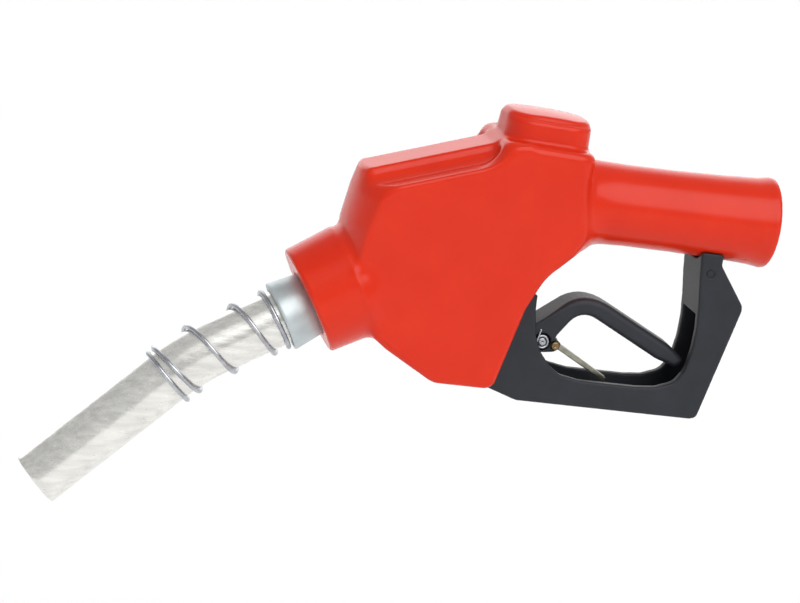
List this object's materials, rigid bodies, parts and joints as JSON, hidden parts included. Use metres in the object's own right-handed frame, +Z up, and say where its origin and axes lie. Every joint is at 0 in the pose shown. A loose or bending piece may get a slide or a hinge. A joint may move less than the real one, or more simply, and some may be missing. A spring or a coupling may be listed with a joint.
{
  "type": "fuel nozzle",
  "caption": "Automatic shut-off fuel nozzle with a red vinyl cover, bent aluminium spout with a grip spring, squeeze lever, guard and hold-open clip",
  "frame": {"origin": "centre of the hose inlet mouth", "axes": "+X out of the hose inlet along the grip, +Y across the nozzle, +Z up toward the valve cap; the spout points to -X and down"},
  "size_m": [0.3118, 0.05, 0.1934],
  "materials": {
    "cast_aluminium": "as cast, dull grey",
    "red_vinyl": "dipped soft vinyl, glossy red",
    "black_nylon": "moulded nylon, charcoal, satin",
    "plated_steel": "zinc plated",
    "brass": "turned brass",
    "spring_wire": "bright drawn wire",
    "black_rubber": "moulded rubber, matt",
    "bright_aluminium": "polished drawn tube",
    "satin_nut": "satin, light blue grey",
    "white_plastic": "extruded tube"
  },
  "bodies": {
    "nozzle_body": {"body_casting": "cast_aluminium", "scuff_cover": "red_vinyl", "lever_guard": "black_nylon", "hold_open_rack": "plated_steel", "rear_guard_pin": "black_nylon", "guard_screw_1": "plated_steel", "guard_screw_2": "plated_steel", "valve_cap": "cast_aluminium", "cap_o_ring": "black_rubber", "main_spring": "spring_wire", "seat_ring": "brass", "stem_packing": "black_rubber", "gland_nut": "brass", "plunger_guide": "brass", "plunger_seal": "black_rubber", "plunger_spring": "spring_wire", "diaphragm_spring": "spring_wire", "vacuum_cap": "cast_aluminium", "spout_nut": "satin_nut", "spout_tube": "bright_aluminium", "spout_spring": "spring_wire", "aspirator_tube": "white_plastic", "spout_o_ring": "black_rubber", "venturi_seat": "brass", "check_spring": "spring_wire", "check_guide": "brass", "set_screw": "plated_steel"},
    "main_valve": {"main_poppet": "bright_aluminium", "valve_disc": "black_rubber", "disc_retainer": "brass", "valve_stem": "plated_steel"},
    "trip_plunger": {"plunger": "plated_steel", "latch_ball_1": "plated_steel", "latch_ball_2": "plated_steel", "latch_ball_3": "plated_steel", "fulcrum_pin": "plated_steel"},
    "squeeze_lever": {"lever": "black_nylon", "clip_rivet": "brass", "clip_spring": "spring_wire"},
    "clip": {"hold_open_clip": "plated_steel"},
    "latch": {"latch_pin": "plated_steel", "diaphragm": "black_rubber"},
    "check_valve": {"check_poppet": "bright_aluminium"}
  },
  "joints": [
    {"name": "plunger_trip", "type": "slide", "parent": "nozzle_body", "child": "trip_plunger", "axis": [0.319, 0, -0.9478], "range_m": [0, 0.0035], "stiffness_N_per_m": 900, "springref_m": -0.004, "deforming": ["plunger_spring"]},
    {"name": "lever_squeeze", "type": "hinge", "parent": "trip_plunger", "child": "squeeze_lever", "pos_m": [-0.124, 0, -0.065], "axis": [0, -1, 0], "range_deg": [0, 14], "stiffness_Nm_per_rad": 1, "springref_deg": -8.59},
    {"name": "main_valve_lift", "type": "slide", "parent": "nozzle_body", "child": "main_valve", "axis": [0, 0, 1], "range_m": [0, 0.0056], "stiffness_N_per_m": 900, "springref_m": -0.006, "deforming": ["main_spring"]},
    {"name": "clip_swing", "type": "hinge", "parent": "squeeze_lever", "child": "clip", "pos_m": [-0.0887, 0, -0.0637], "axis": [0, -1, 0], "range_deg": [-2.5, 25], "stiffness_Nm_per_rad": 0.02},
    {"name": "diaphragm_lift", "type": "slide", "parent": "nozzle_body", "child": "latch", "axis": [-0.319, 0, 0.9478], "range_m": [0, 0.002], "stiffness_N_per_m": 500, "springref_m": -0.002, "deforming": ["diaphragm_spring"]},
    {"name": "check_valve_open", "type": "slide", "parent": "nozzle_body", "child": "check_valve", "axis": [-0.848, 0, -0.5299], "range_m": [0, 0.003], "stiffness_N_per_m": 200, "springref_m": -0.003, "deforming": ["check_spring"]}
  ],
  "couplings": [
    {"joint": "lever_squeeze", "follows": "main_valve_lift", "rad_per_m": 43.668}
  ]
}
